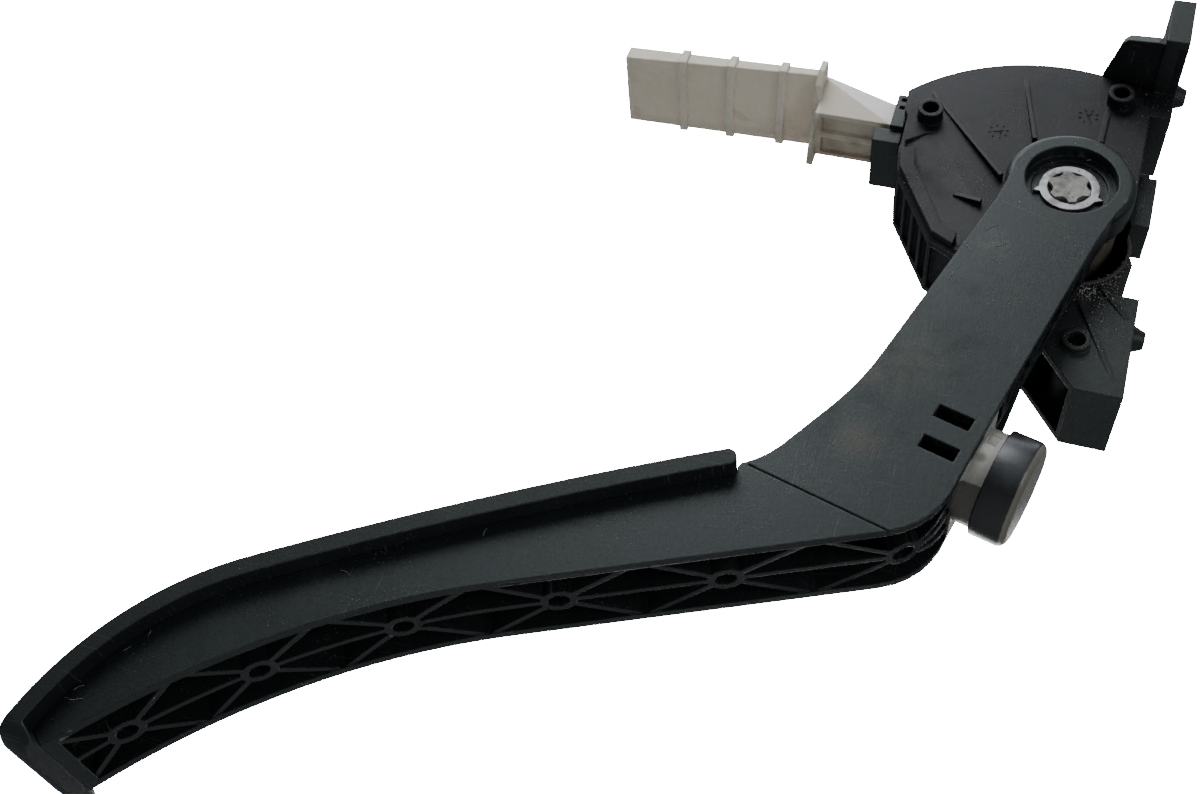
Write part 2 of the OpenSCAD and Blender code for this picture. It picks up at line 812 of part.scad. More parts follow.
// Raised lip along the cover's lower left side
module lip_outline() {
    polygon([
        [-49.7, 8.8], [-48.3, 1.5], [-34.6, -21.4], [-27.9, -24.8],
        [-27.4, -20.5], [-32.4, -17.6], [-40.4, -3.4], [-44.2, 3], [-45.3, 9.6]]);
}

// Narrow gap beside the clip frame
module side_notch() {
    polygon([[-56, 11.6], [-50.2, 11.6], [-50.6, 24.6], [-51.6, 26.4], [-56, 26.4]]);
}

// Slope that falls towards the lip
module cover_dish() {
    intersection() {
        translate([lip_at[0], lip_at[1], -cover_z]) rotate(lip_a) rotate([90, 0, 90]) translate([0, 0, -26])
            linear_extrude(56)
                polygon([[-4, -dish_depth], [3, -dish_depth], [6, -dish_depth * 0.8], [15, 0], [15, 2], [-4, 2]]);
        slab(cover_z - 3, wall_top_z - 0.6) dish_outline();
    }
}

module dish_outline() {
    polygon([[-49, 14], [-47, 1], [-34, -20.5], [-27, -24], [-20, -10], [-22, 0], [-38.5, 20], [-41, 19], [-44, 18]]);
}

// Pockets between the ribs of the outer lower left wall
module wall_pockets() {
    rib = 1.5;
    for (run = [[[-48.7, 1.5], [-34.8, -21.7], 4], [[-50.2, 9], [-48.7, 1.5], 1], [[-34.8, -21.7], [-27.6, -25.3], 1]]) {
        d = run[1] - run[0];
        step = norm(d) / run[2];
        for (i = [0:run[2] - 1])
            slab(wall_top_z + 2, back_z - 2) translate(run[0]) rotate(atan2(d[1], d[0]))
                translate([i * step + rib / 2, -3]) square([step - rib, 4.4]);
    }
}

// Screws go in from the back and end inside the open bosses
module case_screws() {
    color("silver") place() {
        for (p = cover_boss_at) translate([p[0], p[1], 0]) {
            slab(wall_top_z + 4, back_z) circle(d = boss_bore - 2 * seat_gap);
            slab(back_z, back_z + 2.2) circle(d = 7.4);
        }
        translate([bracket_boss_at[0], bracket_boss_at[1], 0]) {
            slab(bracket_z + 3, bracket_back_z - 1) circle(d = boss_bore - 2 * seat_gap);
            slab(bracket_back_z - 1, bracket_back_z + 1.2) circle(d = 7.4);
        }
    }
}

module flange_sleeves() {
    color("#b9bbbd") place() intersection() {
        difference() {
            flange_bores(sleeve_d - 2 * seat_gap);
            flange_bores(sleeve_bore);
        }
        translate([flange_in_x - 1.2, -80, -80]) cube([flange_t + 1.2, 160, 120]);
    }
}

module sensor_rotor() {
    color("#7d4a2a") place() difference() {
        slab(back_z + 1, back_z + 5) circle(d = 19);
        slab(0, back_z + 4 + seat_gap) circle(shaft_r + seat_gap);
    }
}

module sensor_rect(inset) {
    translate([sensor_x[0] + inset, sensor_y[0] + inset])
        square([sensor_x[1] - sensor_x[0] - 2 * inset, sensor_y[1] - sensor_y[0] - 2 * inset]);
}

module sensor_seal() {
    color("#2f3a30") place() slab(back_z, back_z + 0.8) difference() {
        sensor_rect(0.4);
        sensor_rect(sensor_wall);
    }
}

module sensor_board() {
    color("#2e6b3a") place() slab(back_z + 6, back_z + 7.6) difference() {
        sensor_rect(sensor_wall + 0.4);
        circle(d = 3);
    }
}

module sensor_cover() {
    color("#26282b") place() difference() {
        union() {
            slab(back_z + 0.8, sensor_back_z) sensor_rect(0);
            slab(back_z, back_z + 3) sensor_ears();
            slab(plug_z[0], plug_z[1]) translate([plug_x[0], sensor_y[1] - 1])
                square([plug_x[1] - plug_x[0], plug_len + 1]);
        }
        slab(back_z, sensor_back_z - sensor_wall) sensor_rect(sensor_wall);
        slab(back_z - 1, back_z + 0.8) sensor_rect(-eps);
        for (p = sensor_screw_at) slab(back_z - 1, back_z + 4) translate(p) circle(d = 3.4);
        slab(plug_z[0] + 1.6, plug_z[1] - 1.6) translate([plug_x[0] + 1.6, sensor_y[1] + 1.5])
            square([plug_x[1] - plug_x[0] - 3.2, plug_len]);
        connector_rows(0);
    }
}

module sensor_ears() {
    for (p = sensor_screw_at) {
        translate(p) circle(d = 8);
        hull() {
            translate(p) circle(d = 6);
            translate([max(sensor_x[0] + 4, min(sensor_x[1] - 4, p[0])), max(sensor_y[0] + 4, min(sensor_y[1] - 4, p[1]))])
                circle(d = 6);
        }
    }
}

module sensor_screws() {
    color("silver") place() for (p = sensor_screw_at) translate([p[0], p[1], 0]) {
        slab(25, back_z + 3) circle(d = 2.9);
        slab(back_z + 3, back_z + 5) circle(d = 5.6);
    }
}

// Flat contacts of the connector, pushed through its inner wall and standing on the board
module connector_rows(gap) {
    pitch = (plug_x[1] - plug_x[0] - 6.4) / (pin_count - 1);
    mid = (plug_z[0] + plug_z[1]) / 2;
    for (i = [0:pin_count - 1])
        slab(mid - 0.35 - gap, mid + 0.35 + gap)
            translate([plug_x[0] + 3.2 + i * pitch - 0.75 - gap, sensor_y[1] - 8])
                square([1.5 + 2 * gap, plug_len + 3]);
}

module connector_pins() {
    color("gold") place() connector_rows(-0.02);
}

module at_kick() {
    place() translate([kick_at[0], kick_at[1], kick_z]) rotate(kick_a) rotate([0, 90, 0]) children();
}

module kickdown_holder() {
    color("#b9b7ae") {
        at_kick() difference() {
            union() {
                translate([seat_gap + lever_wall - lever_w / 2, seat_gap - kick_base_w / 2, -kick_base_h])
                    cube([lever_w - 2 * lever_wall - 2 * seat_gap, kick_base_w - 2 * seat_gap, kick_base_h]);
                cylinder(r = kick_guide_r, h = kick_guide_h);
                translate([0, 0, -1]) cylinder(r = lever_w / 2 - lever_wall - 0.6, h = 2);
            }
            cylinder(r = kick_guide_r - 3, h = kick_guide_h + 1);
            translate([-kick_guide_r - 1, 2, 1.2]) cube([2.6, 4, 2.6]);
        }
        // Two tongues reach into the lever behind its slots
        place() for (p = slot_at) {
            to_base = (kick_at - p) * unit(kick_a);
            slab(lever_wall + 3.2, lever_wall + 5.4) translate(p) rotate(kick_a)
                translate([-2.4, -1.6]) square([to_base + 2.4 - kick_base_h / 2, 3.2]);
        }
    }
}

module kickdown_cup() {
    r = cup_d / 2;
    round_r = 2.4;
    color("#1c1c1e") at_kick() rotate_extrude() polygon(concat(
        [[r - cup_wall, cup_rim], [r, cup_rim]],
        [for (a = [0:15:90]) [r - round_r + round_r * cos(a), cup_reach - round_r + round_r * sin(a)]],
        [[0, cup_reach], [0, cup_reach - cup_end], [r - cup_wall, cup_reach - cup_end]]));
}

module kickdown_spring() {
    color("#9a9da0") at_kick() translate([0, 0, face_gap]) rotate([0, -90, 0])
        coil(cup_reach - cup_end - 2 * face_gap, 10, 1.2, 5);
}

// Hollow tapered channel with outside ribs, a flange plate and the shank that enters the clip
// Section of the channel: its web faces down, its two lips point up
module channel_section(low, high, lip, bulge, grow) {
    p = unit(atan2(high[1] - low[1], high[0] - low[0]));
    n = [-p[1], p[0]];
    polygon([
        low - grow * p + grow * n, low + bulge[0] * p + (bulge[1] + grow) * n, high + grow * p + grow * n,
        high + grow * p - lip * n, low - grow * p - lip * n]);
}

module channel(grow, deeper, short) {
    hull() {
        translate([channel_root - 0.1, 0, 0]) rotate([90, 0, 90]) linear_extrude(0.2)
            channel_section(web_root[0], web_root[1], channel_h_root + deeper, [3, 0.9], grow);
        translate([channel_root - channel_len + short, 0, 0]) rotate([90, 0, 90]) linear_extrude(0.1)
            channel_section(web_tip[0], web_tip[1], channel_h_tip + deeper, [12, 0.2], grow);
    }
}

module support_arm() {
    color("#cfc8b6") place() {
        difference() {
            union() {
                channel(0, 0, 0);
                for (x = rib_x) intersection() {
                    channel(0.8, 0.8, 0);
                    translate([x - 1.3, 0, -60]) cube([2.6, 60, 60]);
                }
            }
            channel(-channel_wall, 6, channel_wall);
        }
        translate([channel_root, 0, 0]) rotate([90, 0, 90]) linear_extrude(2)
            polygon([[20.8, -34.6], [31.4, -10.4], [36, -8], [41.5, -9], [41.5, -35.6], [22, -35.6]]);
        shank();
    }
}

// Shank with two recessed panels on its lower side
module shank() {
    end_x = frame_x + frame_d - face_gap;
    translate([frame_x - 1, shank_y[0], -shank_z[1]])
        cube([end_x - frame_x + 1, shank_y[1] - shank_y[0], shank_z[1] - shank_z[0]]);
    difference() {
        hull() {
            translate([channel_root + 2 - eps, shank_y[0], -shank_z[1]]) cube([1, 16.5, shank_z[1] - shank_z[0]]);
            translate([frame_x - 1, shank_y[0], -shank_z[1]])
                cube([0.1, shank_y[1] - shank_y[0], shank_z[1] - shank_z[0]]);
        }
        for (z = [16, 24.6])
            translate([channel_root + 4, shank_y[0] - 1, -z - 6.6]) cube([end_x - channel_root - 10, 2.2, 6.6]);
    }
}

housing();
housing_cover();
case_screws();
flange_sleeves();
pedal_lever();
foot_pad();
pivot_shaft();
retaining_ring();
front_bush();
rear_bush();
spring_drum();
friction_shoe();
return_spring_outer();
return_spring_inner();
idle_buffer();
sensor_rotor();
sensor_board();
sensor_seal();
sensor_cover();
connector_pins();
kickdown_holder();
kickdown_cup();
kickdown_spring();
support_arm();
sensor_screws();
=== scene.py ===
import math
import random
import bmesh
import bpy
from mathutils import Matrix, Vector
from mathutils.bvhtree import BVHTree


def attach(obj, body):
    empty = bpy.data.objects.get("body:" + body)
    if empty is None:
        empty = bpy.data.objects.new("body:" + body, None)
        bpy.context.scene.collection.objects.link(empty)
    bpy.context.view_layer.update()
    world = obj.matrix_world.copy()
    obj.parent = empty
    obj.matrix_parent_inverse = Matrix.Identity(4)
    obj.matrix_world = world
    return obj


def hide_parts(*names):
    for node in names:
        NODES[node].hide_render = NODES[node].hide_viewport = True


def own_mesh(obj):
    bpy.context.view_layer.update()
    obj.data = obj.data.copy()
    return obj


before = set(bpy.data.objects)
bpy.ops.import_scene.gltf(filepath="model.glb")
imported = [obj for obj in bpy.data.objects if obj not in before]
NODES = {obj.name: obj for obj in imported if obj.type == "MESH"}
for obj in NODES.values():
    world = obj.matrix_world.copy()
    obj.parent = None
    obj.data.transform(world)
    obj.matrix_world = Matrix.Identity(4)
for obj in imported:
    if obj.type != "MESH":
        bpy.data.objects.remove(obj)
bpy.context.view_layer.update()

# Places are in millimetres of the part's side plane: x forward and y up from the pivot, z towards the cover side.
# The stored frame's origin lies here in that plane
FLANGE_X, BOLT_UP, BOLT_MID_Z = 24.6, 59.5, -22.0


def place(x, y, z):
    """A point of the side plane, in millimetres, as a point of the stored frame, in metres."""
    return Vector((x - FLANGE_X, -(z - BOLT_MID_Z), y - BOLT_UP)) / 1000


def turn(x, y, z):
    """A direction of the side plane as a direction of the stored frame."""
    return Vector((x, -z, y)).normalized()


# Shader nodes

NUMBER, VECTOR = "NodeSocketFloat", "NodeSocketVector"


def feed(tree, socket, value):
    """Gives a socket a number, a colour or another socket's result."""
    if isinstance(value, (int, float)):
        socket.default_value = value
    elif isinstance(value, tuple):
        socket.default_value = (*value, 1)
    else:
        tree.links.new(value, socket)


def math_node(tree, kind, *values):
    """A Math node from numbers or sockets, and its result."""
    node = tree.nodes.new("ShaderNodeMath")
    node.operation = kind
    for socket, value in zip(node.inputs, values):
        feed(tree, socket, value)
    return node.outputs[0]


def vector_value(tree, kind, a, b):
    """The number that a Vector Math node makes of two vectors."""
    node = tree.nodes.new("ShaderNodeVectorMath")
    node.operation = kind
    tree.links.new(a, node.inputs[0])
    tree.links.new(b, node.inputs[1])
    return node.outputs["Value"]


def ramp_node(tree, value, low, high):
    """A mask that rises from 0 at low to 1 at high."""
    node = tree.nodes.new("ShaderNodeMapRange")
    node.interpolation_type = "SMOOTHSTEP"
    for label, given in (("Value", value), ("From Min", low), ("From Max", high)):
        feed(tree, node.inputs[label], given)
    return node.outputs["Result"]


def object_point(tree, stretch=(1, 1, 1), spin=(0, 0, 0)):
    """The surface point in the piece's own space, stretched and turned."""
    coord = tree.nodes.new("ShaderNodeTexCoord")
    mapping = tree.nodes.new("ShaderNodeMapping")
    mapping.inputs["Scale"].default_value = stretch
    mapping.inputs["Rotation"].default_value = spin
    tree.links.new(coord.outputs["Object"], mapping.inputs["Vector"])
    return mapping.outputs["Vector"]


def noise_node(tree, point, scale, detail, rough):
    """A noise texture's value."""
    node = tree.nodes.new("ShaderNodeTexNoise")
    tree.links.new(point, node.inputs["Vector"])
    for label, value in (("Scale", scale), ("Detail", detail), ("Roughness", rough)):
        feed(tree, node.inputs[label], value)
    return node.outputs["Fac"]


def mix_colour(tree, mask, under, over):
    """The over colour laid on the under colour where the mask is 1."""
    node = tree.nodes.new("ShaderNodeMix")
    node.data_type = "RGBA"
    for label, value in (("Factor", mask), ("A", under), ("B", over)):
        feed(tree, node.inputs[label], value)
    return node.outputs["Result"]


# Camera, light and floor

PHOTO_FROM, PHOTO_LENS, PHOTO_SENSOR = (-8.0, -298.5, 306.35), 42.9, 36
PHOTO_RIGHT, PHOTO_UP = (0.9430, 0.3178, -0.0989), (-0.2084, 0.7956, 0.5688)
PHOTO_AHEAD = (-0.2594, 0.5158, -0.8165)
WHITE = (1.0, 1.0, 1.0)
LIT_PLACE = (-90, -90, -15)
# A lamp: its place from the lit place in metres, size in metres, power and colour
LAMPS = {
    "key_light": ((-0.4, -0.95, 1.0), 0.85, 13.5, WHITE),
    "top_light": ((-0.1, 0.1, 1.5), 1.2, 11, (0.93, 0.97, 1.0)),
    "side_light": ((1.1, -0.9, -0.1), 0.5, 3.5, WHITE),
    "back_light": ((0.0, 1.45, 0.3), 0.9, 10, WHITE),
}
SEEN_WHITE = 60.0
ROOM_COLOUR = (0.86, 0.93, 1.0)
ROOM_RISE = (("From Min", -0.2), ("From Max", 0.7), ("To Min", 0.004), ("To Max", 0.26))
FLOOR_SIZE, FLOOR_HEIGHT, FLOOR_LIFT = 9, -1.7, 0.55


def make_camera():
    """The photograph's view: from below and in front of the pedal's cover side."""
    data = bpy.data.cameras.new("photo_camera")
    data.lens = PHOTO_LENS
    data.sensor_width = PHOTO_SENSOR
    data.sensor_fit = "HORIZONTAL"
    data.clip_start = 0.01
    camera = bpy.data.objects.new("photo_camera", data)
    bpy.context.scene.collection.objects.link(camera)
    facing = Matrix((turn(*PHOTO_RIGHT), turn(*PHOTO_UP), -turn(*PHOTO_AHEAD)))
    camera.matrix_world = Matrix.Translation(place(*PHOTO_FROM)) @ facing.transposed().to_4x4()
    bpy.context.scene.camera = camera


def make_lamps():
    """Soft square lamps above, beside and behind the pedal, which all face it."""
    aim = place(*LIT_PLACE)
    for name, (away, size, power, colour) in LAMPS.items():
        data = bpy.data.lights.new(name, "AREA")
        data.shape = "SQUARE"
        data.size = size
        data.energy = power
        data.color = colour
        lamp = bpy.data.objects.new(name, data)
        bpy.context.scene.collection.objects.link(lamp)
        at = aim + Vector(away)
        lamp.location = at
        lamp.rotation_euler = (aim - at).to_track_quat("-Z", "Y").to_euler()


def make_room():
    """A room with a pale ceiling and a dark lower half, which the camera sees as plain white."""
    world = bpy.data.worlds.new("pale_room")
    bpy.context.scene.world = world
    world.use_nodes = True
    tree = world.node_tree
    tree.nodes.clear()
    out = tree.nodes.new("ShaderNodeOutputWorld")
    seen = tree.nodes.new("ShaderNodeBackground")
    feed(tree, seen.inputs["Color"], WHITE)
    feed(tree, seen.inputs["Strength"], SEEN_WHITE)
    lit = tree.nodes.new("ShaderNodeBackground")
    feed(tree, lit.inputs["Color"], ROOM_COLOUR)
    coord = tree.nodes.new("ShaderNodeTexCoord")
    split = tree.nodes.new("ShaderNodeSeparateXYZ")
    tree.links.new(coord.outputs["Generated"], split.inputs[0])
    upper = tree.nodes.new("ShaderNodeMapRange")
    tree.links.new(split.outputs["Z"], upper.inputs["Value"])
    for label, value in ROOM_RISE:
        feed(tree, upper.inputs[label], value)
    tree.links.new(upper.outputs["Result"], lit.inputs["Strength"])
    path = tree.nodes.new("ShaderNodeLightPath")
    mix = tree.nodes.new("ShaderNodeMixShader")
    tree.links.new(path.outputs["Is Camera Ray"], mix.inputs["Fac"])
    tree.links.new(lit.outputs[0], mix.inputs[1])
    tree.links.new(seen.outputs[0], mix.inputs[2])
    tree.links.new(mix.outputs[0], out.inputs["Surface"])


def make_floor():
    """A plain pale floor well below the pedal."""
    bpy.ops.mesh.primitive_plane_add(size=FLOOR_SIZE, location=(0, 0, FLOOR_HEIGHT))
    floor = bpy.context.active_object
    floor.name = "floor"
    mat, tree, bsdf = new_material("pale_floor")
    feed(tree, bsdf.inputs["Base Color"], (0.8, 0.8, 0.79))
    feed(tree, bsdf.inputs["Roughness"], 0.8)
    feed(tree, bsdf.inputs["Emission Color"], WHITE)
    path = tree.nodes.new("ShaderNodeLightPath")
    lift = math_node(tree, "MULTIPLY", path.outputs["Is Camera Ray"], FLOOR_LIFT)
    tree.links.new(lift, bsdf.inputs["Emission Strength"])
    floor.data.materials.append(mat)


# Effects that the materials share, as node groups with named inputs and outputs

GROUPS = {}


def new_group(name, inputs, outputs):
    """An empty shader node group with named number inputs and named outputs."""
    tree = bpy.data.node_groups.new(name, "ShaderNodeTree")
    for label, value in inputs.items():
        tree.interface.new_socket(label, in_out="INPUT", socket_type=NUMBER).default_value = value
    for label, kind in outputs.items():
        tree.interface.new_socket(label, in_out="OUTPUT", socket_type=kind)
    return tree, tree.nodes.new("NodeGroupInput"), tree.nodes.new("NodeGroupOutput")


def given_vector(tree, given):
    """The vector of a group's inputs X, Y and Z."""
    node = tree.nodes.new("ShaderNodeCombineXYZ")
    for label in "XYZ":
        tree.links.new(given.outputs[label], node.inputs[label])
    return node.outputs[0]


def build_patches():
    """Large soft patches, as where dust has been wiped or has settled."""
    tree, given, out = new_group("Patches", {"Scale": 30, "Low": 0.45, "High": 0.7}, {"Mask": NUMBER})
    value = noise_node(tree, object_point(tree), given.outputs["Scale"], 5, 0.62)
    tree.links.new(ramp_node(tree, value, given.outputs["Low"], given.outputs["High"]), out.inputs["Mask"])
    return tree


def build_specks():
    """Small separate specks of dust and grit."""
    tree, given, out = new_group("Specks", {"Scale": 900, "Amount": 0.2}, {"Mask": NUMBER})
    node = tree.nodes.new("ShaderNodeTexVoronoi")
    tree.links.new(object_point(tree), node.inputs["Vector"])
    tree.links.new(given.outputs["Scale"], node.inputs["Scale"])
    where = ramp_node(tree, noise_node(tree, object_point(tree), 60, 3, 0.6), 0.45, 0.7)
    limit = math_node(tree, "MULTIPLY", given.outputs["Amount"], where)
    tree.links.new(math_node(tree, "LESS_THAN", node.outputs["Distance"], limit), out.inputs["Mask"])
    return tree


def build_scratches():
    """Fine hair scratches in three directions, which come and go over the surface."""
    tree, given, out = new_group("Scratches", {"Scale": 1, "Amount": 0.5}, {"Mask": NUMBER})
    lines = []
    for spin, stretch in ((0.5, (90, 90, 2600)), (-0.85, (2400, 110, 120)), (1.3, (70, 90, 3100))):
        value = noise_node(tree, object_point(tree, stretch, (0, spin, 0)), given.outputs["Scale"], 1, 0.4)
        lines.append(ramp_node(tree, value, 0.7, 0.76))
    every = math_node(tree, "MAXIMUM", math_node(tree, "MAXIMUM", lines[0], lines[1]), lines[2])
    where = ramp_node(tree, noise_node(tree, object_point(tree), 22, 4, 0.6), 0.42, 0.66)
    shown = math_node(tree, "MULTIPLY", math_node(tree, "MULTIPLY", every, where), given.outputs["Amount"])
    tree.links.new(shown, out.inputs["Mask"])
    return tree


def build_edges():
    """Rounded-looking edges: the bevelled normal, and a mask of the edges that rub bright."""
    tree, given, out = new_group("Edges", {"Radius": 0.0006, "Amount": 1}, {"Normal": VECTOR, "Mask": NUMBER})
    bevel = tree.nodes.new("ShaderNodeBevel")
    bevel.samples = 6
    tree.links.new(given.outputs["Radius"], bevel.inputs["Radius"])
    flat = tree.nodes.new("ShaderNodeNewGeometry")
    facing = vector_value(tree, "DOT_PRODUCT", bevel.outputs["Normal"], flat.outputs["Normal"])
    edge = ramp_node(tree, math_node(tree, "SUBTRACT", 1, facing), 0.02, 0.22)
    worn = ramp_node(tree, noise_node(tree, object_point(tree), 160, 5, 0.7), 0.4, 0.62)
    mask = math_node(tree, "MULTIPLY", math_node(tree, "MULTIPLY", edge, worn), given.outputs["Amount"])
    tree.links.new(bevel.outputs["Normal"], out.inputs["Normal"])
    tree.links.new(mask, out.inputs["Mask"])
    return tree


def build_spot():
    """A soft round area at one place of the stored frame, broken up by noise."""
    tree, given, out = new_group(
        "Spot", {"X": 0, "Y": 0, "Z": 0, "Radius": 0.01, "Ragged": 0.5}, {"Mask": NUMBER})
    reach = vector_value(tree, "DISTANCE", object_point(tree), given_vector(tree, given))
    share = math_node(tree, "DIVIDE", reach, given.outputs["Radius"])
    torn = noise_node(tree, object_point(tree), 330, 6, 0.7)
    share = math_node(tree, "ADD", share, math_node(tree, "MULTIPLY", torn, given.outputs["Ragged"]))
    tree.links.new(math_node(tree, "SUBTRACT", 1, ramp_node(tree, share, 0.35, 1.2)), out.inputs["Mask"])
    return tree


def build_along():
    """A mask of the surface beyond a plane, which is given by its direction and its offset, with a ragged border."""
    tree, given, out = new_group(
        "Along", {"X": 0, "Y": 0, "Z": 1, "Offset": 0, "Soft": 0.002, "Ragged": 0.001}, {"Mask": NUMBER})
    reach = vector_value(tree, "DOT_PRODUCT", object_point(tree), given_vector(tree, given))
    torn = noise_node(tree, object_point(tree), 420, 5, 0.65)
    past = math_node(tree, "SUBTRACT", reach, given.outputs["Offset"])
    past = math_node(tree, "ADD", past, math_node(tree, "MULTIPLY", torn, given.outputs["Ragged"]))
    tree.links.new(ramp_node(tree, past, 0, given.outputs["Soft"]), out.inputs["Mask"])
    return tree


def build_grain():
    """Height of a fine moulded or cast grain with a slow waviness under it."""
    tree, given, out = new_group("Grain", {"Scale": 1500, "Wave": 0.4}, {"Height": NUMBER})
    fine = noise_node(tree, object_point(tree), given.outputs["Scale"], 3, 0.6)
    slow = noise_node(tree, object_point(tree), 70, 2, 0.5)
    height = math_node(tree, "ADD", fine, math_node(tree, "MULTIPLY", slow, given.outputs["Wave"]))
    tree.links.new(height, out.inputs["Height"])
    return tree


def make_groups():
    """The shared effects, by name."""
    for build in (build_patches, build_specks, build_scratches, build_edges, build_spot, build_along, build_grain):
        tree = build()
        GROUPS[tree.name] = tree


def effect(tree, name, **values):
    """One of the shared effects, placed in a material with its own values."""
    node = tree.nodes.new("ShaderNodeGroup")
    node.node_tree = GROUPS[name]
    node.label = name
    for label, value in values.items():
        node.inputs[label].default_value = value
    return node


# Marks at set places: dirt and wear, and painted light and shade where noted. A spot: its middle and radius in mm,
# how ragged it is, its strength and its colour
HOUSING_DIRT_AND_PAINTED_LIGHT = [
    ((13, -18, -17), 9, 0.9, 0.5, (0.10, 0.085, 0.06)), ((9, -30, -17), 8, 1.1, 0.4, (0.09, 0.078, 0.06)),
    ((14, -38, -17), 7, 1.2, 0.35, (0.08, 0.07, 0.055)), ((30, -78, -33), 8, 1.1, 0.5, (0.075, 0.055, 0.035)),
    # The last two housing spots are painted light: they lighten the bracket's front face round the boss and the
    # housing wall by the ear, which the lamps leave too dark. The others are dirt.
    ((16, -46, -17), 24, 0.6, 0.7, (0.042, 0.044, 0.044)), ((13, 72, -14), 15, 0.5, 0.75, (0.075, 0.075, 0.083)),
]
CUP_DIRT_AND_PAINTED_SHEEN = [
    # The first cup spot is a painted sheen: a lighter bluish patch across the middle of the cup's side. The other
    # two are dirt.
    ((0, -97, -1), 9, 0.35, 0.85, (0.078, 0.084, 0.092)), ((3, -89, -4), 6, 1.0, 0.45, (0.12, 0.11, 0.09)),
    ((-3, -109, -12), 5, 1.2, 0.3, (0.07, 0.06, 0.045)),
]
CREAM_SPOTS = [
    ((-76, 24, -20), 7, 0.7, 0.75, (0.30, 0.21, 0.12)), ((-74, 24, -29), 7, 0.8, 0.7, (0.26, 0.18, 0.10)),
    ((-66, 25, -26), 6, 1.1, 0.6, (0.22, 0.16, 0.10)), ((-60, 26, -30), 6, 1.1, 0.6, (0.15, 0.11, 0.07)),
    ((-140, 29, -31), 5, 0.9, 0.35, (0.42, 0.36, 0.27)),
]
LEVER_SPOTS = [
    ((-30, -74, 0), 17, 0.7, 0.35, (0.075, 0.064, 0.048)), ((-42, -80, 0), 10, 0.9, 0.4, (0.085, 0.066, 0.045)),
    ((-17, -29, 0), 12, 1.3, 0.45, (0.10, 0.098, 0.09)), ((-76, -112, 0), 16, 1.1, 0.35, (0.07, 0.07, 0.066)),
    ((-38, -101, 0), 10, 0.6, 0.5, (0.075, 0.058, 0.04)), ((-155, -176, 0), 14, 1.1, 0.3, (0.06, 0.06, 0.058)),
]
CLIP_SPOTS = [((-7.7, -96.6, -2.2), 1.9, 0.25, 0.75, (0.17, 0.155, 0.13))]

# A zone, all that lies beyond a place: direction, place, soft and ragged width in mm, strength and colour
UNDERSIDE = (-0.1, -0.75, -0.65)
# Painted sheen: the cover turns lighter and bluer towards its upper arc.
COVER_PAINTED_SHEEN = [((-0.35, 0.94, 0), (-10, 44, 0), 10, 3, 0.35, (0.021, 0.020, 0.026))]
CREAM_ZONES = [
    ((0.05, 0, -1), (-120, 30, -30), 5, 3, 0.22, (0.5, 0.43, 0.32)),
    # Painted shade: the shank's face, which faces down, turned darker and browner.
    ((0.9, 0.1, -0.15), (-80, 25, -27), 0.6, 0.6, 0.55, (0.42, 0.36, 0.27)),
    # Painted highlight: the shank's top web turned near white, as where the top lamp falls on it.
    ((0.55, 0.83, 0), (-74, 36, -20), 1, 0.5, 0.95, (0.97, 0.97, 0.95)),
]
CLIP_ZONES = [
    (UNDERSIDE, (-9, -102.2, -6), 0.6, 0.5, 0.95, (0.045, 0.037, 0.028)),
    (UNDERSIDE, (-9, -97.5, -3), 6, 1, 0.3, (0.16, 0.15, 0.125)),
]
CUP_PAINTED_SHADE_AND_WEAR = [
    # The first cup zone is painted shade: the cup's lower part turned near black. The second is real wear, the beige
    # rim at the cup's end.
    (UNDERSIDE, (-1, -101.5, -3), 4, 0.8, 0.9, (0.003, 0.0035, 0.004)),
    ((0.972, -0.235, 0), (4.0, -97.1, -15), 0.4, 0.6, 0.8, (0.26, 0.24, 0.2)),
]


# Materials

BUMP_DEPTH = 0.0003
METAL_EDGE = 0.0003


def new_material(name):
    """A material with its Principled shader ready."""
    mat = bpy.data.materials.new(name)
    mat.use_nodes = True
    return mat, mat.node_tree, mat.node_tree.nodes["Principled BSDF"]


def lay_mark(tree, mark, strength, colour, tint):
    """A colour with a mark's tint laid on it."""
    return mix_colour(tree, math_node(tree, "MULTIPLY", mark.outputs["Mask"], strength), colour, tint)


def lay_spots(tree, colour, spots):
    """A colour with all its spots."""
    for middle, radius, ragged, strength, tint in spots:
        at = place(*middle)
        mark = effect(tree, "Spot", X=at.x, Y=at.y, Z=at.z, Radius=radius / 1000, Ragged=ragged)
        colour = lay_mark(tree, mark, strength, colour, tint)
    return colour


def lay_zones(tree, colour, zones):
    """A colour with all its zones."""
    for way, start, soft, ragged, strength, tint in zones:
        heading = turn(*way)
        mark = effect(tree, "Along", X=heading.x, Y=heading.y, Z=heading.z, Offset=heading.dot(place(*start)),
                      Soft=soft / 1000, Ragged=ragged / 1000)
        colour = lay_mark(tree, mark, strength, colour, tint)
    return colour


def add_relief(tree, bsdf, edges, scale, wave, strength):
    """The normal: a grain on edges that look rounded."""
    grit = effect(tree, "Grain", Scale=scale, Wave=wave)
    bump = tree.nodes.new("ShaderNodeBump")
    bump.inputs["Strength"].default_value = strength
    bump.inputs["Distance"].default_value = BUMP_DEPTH
    tree.links.new(grit.outputs["Height"], bump.inputs["Height"])
    tree.links.new(edges.outputs["Normal"], bump.inputs["Normal"])
    tree.links.new(bump.outputs["Normal"], bsdf.inputs["Normal"])


